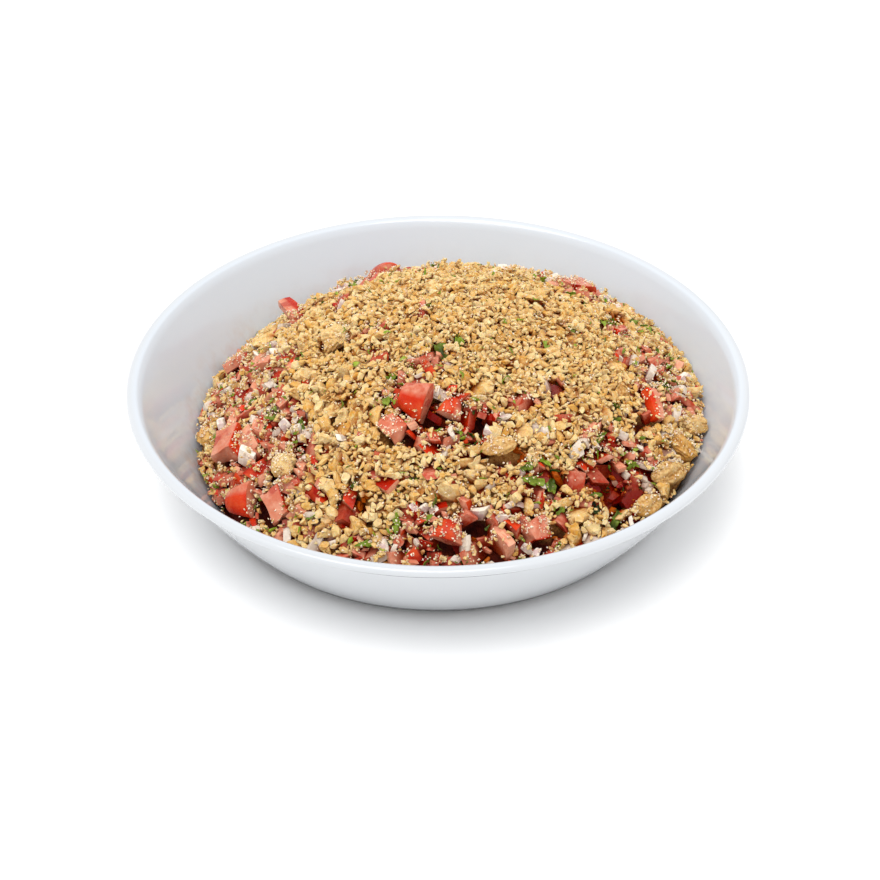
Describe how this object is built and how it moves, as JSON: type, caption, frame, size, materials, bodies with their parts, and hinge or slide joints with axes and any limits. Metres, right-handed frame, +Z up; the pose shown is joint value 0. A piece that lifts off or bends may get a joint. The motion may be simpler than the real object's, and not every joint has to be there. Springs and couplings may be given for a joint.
{
  "type": "bowl of tomato walnut salad",
  "caption": "Shallow round serving bowl with a rolled lip, heaped with chopped tomato, onion and parsley under chopped walnuts.",
  "frame": {"origin": "on the table under the middle of the bowl, at the level of its foot ring", "axes": "+Z up; -Y is the near side in the picture, where the heap shows its bare tomato; +X to the right"},
  "size_m": [0.25, 0.25, 0.0728],
  "materials": {
    "bowl": "glossy white glaze",
    "salad": "moist chopped salad of tomato, onion and parsley under dry, matt walnut crumbs",
    "tomato": "wet coral red flesh and glossy red skin",
    "walnut": "matt cream to golden kernel with thin brown skin"
  },
  "bodies": {
    "root": {"bowl": "bowl", "salad": "salad", "tomato_wedge_centre": "tomato", "tomato_wedge_centre_right": "tomato", "tomato_chunk_centre_left": "tomato", "tomato_strip_far_left": "tomato", "tomato_slice_left": "tomato", "tomato_strip_right": "tomato", "tomato_wedge_near_left": "tomato", "tomato_cube_left": "tomato", "tomato_cube_near_left": "tomato", "tomato_wedge_near": "tomato", "tomato_cube_near_right": "tomato", "walnut_quarter_right": "walnut", "walnut_stick_right": "walnut", "walnut_chunk_far_right": "walnut", "walnut_chunk_right": "walnut", "walnut_chunk_left": "walnut", "walnut_chunk_near_left": "walnut", "walnut_nugget_far_left": "walnut", "walnut_flake_centre_right": "walnut", "walnut_chunk_far_side": "walnut", "tomato_wedge_far_side": "tomato", "tomato_cube_far_side": "tomato"}
  },
  "joints": []
}
